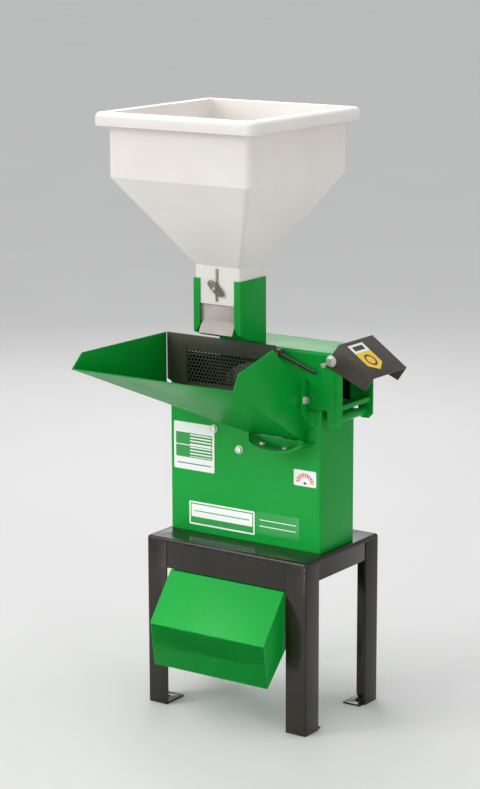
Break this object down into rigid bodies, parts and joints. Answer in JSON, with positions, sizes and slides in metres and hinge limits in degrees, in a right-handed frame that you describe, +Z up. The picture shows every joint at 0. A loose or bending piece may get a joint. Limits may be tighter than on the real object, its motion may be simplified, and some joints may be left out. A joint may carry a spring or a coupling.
{
  "type": "forage and grain chopper",
  "caption": "Floor-standing forage chopper and grain mill with hopper, feed tray, hinged rotor cover, tilting outlet deflector and bottom chute on an angle-iron stand.",
  "frame": {"origin": "centre of the stand between its four foot slots, on the floor", "axes": "+X to the right of a person facing the front, front faces -Y, +Z up"},
  "size_m": [0.572, 0.513, 1.285],
  "materials": {
    "green_enamel": "gloss enamel",
    "stand_enamel": "satin dark brown enamel",
    "hopper_plastic": "moulded off-white plastic",
    "panel_enamel": "matt dark olive enamel",
    "dark_enamel": "satin dark enamel",
    "bare_steel": "plain rolled steel",
    "ground_steel": "ground steel",
    "cast_housing": "cast housing",
    "bearing_steel": "polished bearing steel",
    "zinc_fastener": "bright zinc",
    "gate_sheet": "dull zinc sheet",
    "wing_nut_bronze": "dark passivated steel",
    "lever_black": "satin black",
    "label_film": "plain printed film"
  },
  "bodies": {
    "frame": {"air_screen": "panel_enamel", "bearing_back": "bearing_steel", "bearing_cap": "cast_housing", "bearing_front": "bearing_steel", "bearing_housing": "cast_housing", "casing_shell": "green_enamel", "chamber_back_plate": "bare_steel", "counter_knife": "ground_steel", "data_plate": "label_film", "feed_panel": "panel_enamel", "front_bolts": "zinc_fastener", "grain_hopper": "hopper_plastic", "hinge_pin": "green_enamel", "hinge_tube": "green_enamel", "hopper_channel": "green_enamel", "housing_bolts": "zinc_fastener", "leg_back_left": "stand_enamel", "leg_back_right": "stand_enamel", "leg_front_left": "stand_enamel", "leg_front_right": "stand_enamel", "lever_bracket": "panel_enamel", "lower_chute": "green_enamel", "lug_bolt": "zinc_fastener", "name_plate": "label_film", "shelf_screws": "zinc_fastener", "sieve": "bare_steel", "sieve_rails": "bare_steel", "stand_deck": "stand_enamel", "throat_shelf": "green_enamel", "tray_floor": "green_enamel", "tray_left_wall": "green_enamel", "tray_lug": "green_enamel", "tray_right_wall": "green_enamel", "turn_label": "label_film", "warning_label": "label_film"},
    "cover": {"upper_cover": "green_enamel", "outlet_sill": "green_enamel", "cover_liner": "bare_steel"},
    "deflector": {"deflector_hood": "dark_enamel"},
    "front_screw": {"deflector_screw_front": "zinc_fastener"},
    "back_screw": {"deflector_screw_back": "zinc_fastener"},
    "lever": {"latch_lever": "lever_black"},
    "gate": {"feed_gate": "gate_sheet"},
    "wing_nut": {"gate_wing_nut": "wing_nut_bronze"},
    "rotor": {"rotor_shaft": "ground_steel", "knife_disc": "bare_steel", "rear_disc": "bare_steel", "rotor_hub": "bare_steel", "knife_1": "ground_steel", "knife_2": "ground_steel", "hammer_pins": "bare_steel", "rotor_nut": "bare_steel"},
    "hammer_set_1": {"hammers_1": "bare_steel"},
    "hammer_set_2": {"hammers_2": "bare_steel"},
    "hammer_set_3": {"hammers_3": "bare_steel"},
    "hammer_set_4": {"hammers_4": "bare_steel"}
  },
  "joints": [
    {"name": "cover_hinge", "type": "hinge", "parent": "frame", "child": "cover", "pos_m": [0.218, 0, 0.661], "axis": [0, 1, 0], "range_deg": [0, 95]},
    {"name": "deflector_tilt", "type": "hinge", "parent": "cover", "child": "deflector", "pos_m": [0.215, 0, 0.785], "axis": [0, 1, 0], "range_deg": [-50, 35]},
    {"name": "front_screw_turn", "type": "hinge", "parent": "cover", "child": "front_screw", "pos_m": [0.215, 0, 0.785], "axis": [0, 1, 0], "range_deg": [-120, 60]},
    {"name": "back_screw_turn", "type": "hinge", "parent": "cover", "child": "back_screw", "pos_m": [0.215, 0, 0.785], "axis": [0, 1, 0], "range_deg": [-60, 120]},
    {"name": "lever_turn", "type": "hinge", "parent": "frame", "child": "lever", "pos_m": [0.091, 0, 0.789], "axis": [0, 1, 0], "range_deg": [-100, 8]},
    {"name": "gate_slide", "type": "slide", "parent": "frame", "child": "gate", "axis": [0, 0, 1], "range_m": [-0.024, 0.03]},
    {"name": "wing_nut_turn", "type": "hinge", "parent": "gate", "child": "wing_nut", "pos_m": [-0.0045, 0, 0.926], "axis": [0, 1, 0], "range_deg": [-150, 150]},
    {"name": "rotor_spin", "type": "hinge", "parent": "frame", "child": "rotor", "pos_m": [0.01, 0, 0.664], "axis": [0, 1, 0], "continuous": true},
    {"name": "hammer_swing_1", "type": "hinge", "parent": "rotor", "child": "hammer_set_1", "pos_m": [0.05808, 0, 0.71208], "axis": [0, 1, 0], "range_deg": [-150, 8]},
    {"name": "hammer_swing_2", "type": "hinge", "parent": "rotor", "child": "hammer_set_2", "pos_m": [-0.03808, 0, 0.71208], "axis": [0, 1, 0], "range_deg": [-8, 150]},
    {"name": "hammer_swing_3", "type": "hinge", "parent": "rotor", "child": "hammer_set_3", "pos_m": [-0.03808, 0, 0.61592], "axis": [0, 1, 0], "range_deg": [-100, 100]},
    {"name": "hammer_swing_4", "type": "hinge", "parent": "rotor", "child": "hammer_set_4", "pos_m": [0.05808, 0, 0.61592], "axis": [0, 1, 0], "range_deg": [-100, 100]}
  ]
}
